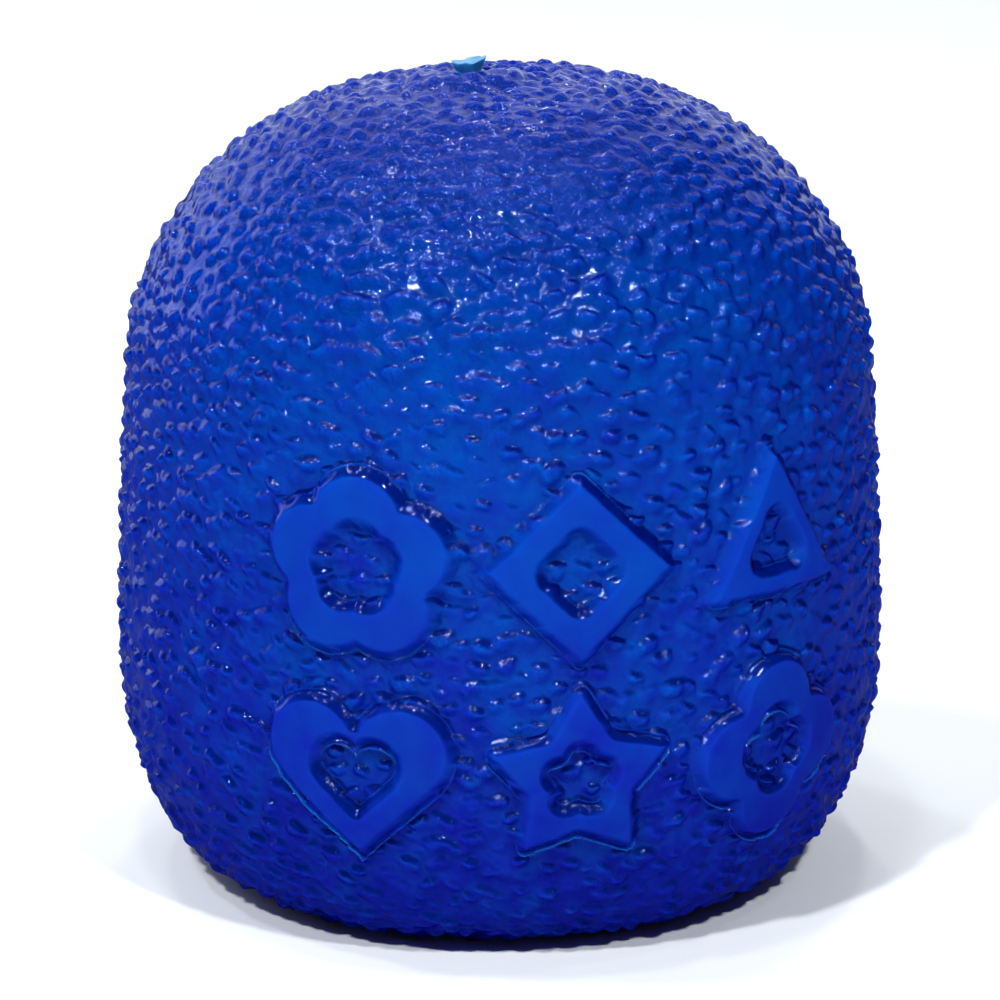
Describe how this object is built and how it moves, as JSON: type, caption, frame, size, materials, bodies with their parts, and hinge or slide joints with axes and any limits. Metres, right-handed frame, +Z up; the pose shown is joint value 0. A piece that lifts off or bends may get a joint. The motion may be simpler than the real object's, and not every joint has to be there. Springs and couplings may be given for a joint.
{
  "type": "squeeze toy",
  "caption": "Palm-sized gumdrop-shaped squeeze toy: pebbled clear blue rubber skin with raised plain figures, filled with soft gel and plugged on top.",
  "frame": {"origin": "middle of the flat foot, on the surface that the toy stands on", "axes": "+Z up along the gumdrop's axis; -Y is the front, where the raised figures are; +X is to the right seen from the front"},
  "size_m": [0.07, 0.071, 0.0736],
  "materials": {
    "skin_rubber": "glossy see-through deep blue, pebbled",
    "gel": "soft clear blue gel",
    "plug_rubber": "satin see-through light blue",
    "adhesive": "glossy cured bead"
  },
  "bodies": {
    "root": {"skin": "skin_rubber", "gel_core": "gel", "fill_plug": "plug_rubber", "plug_seal": "adhesive"}
  },
  "joints": []
}
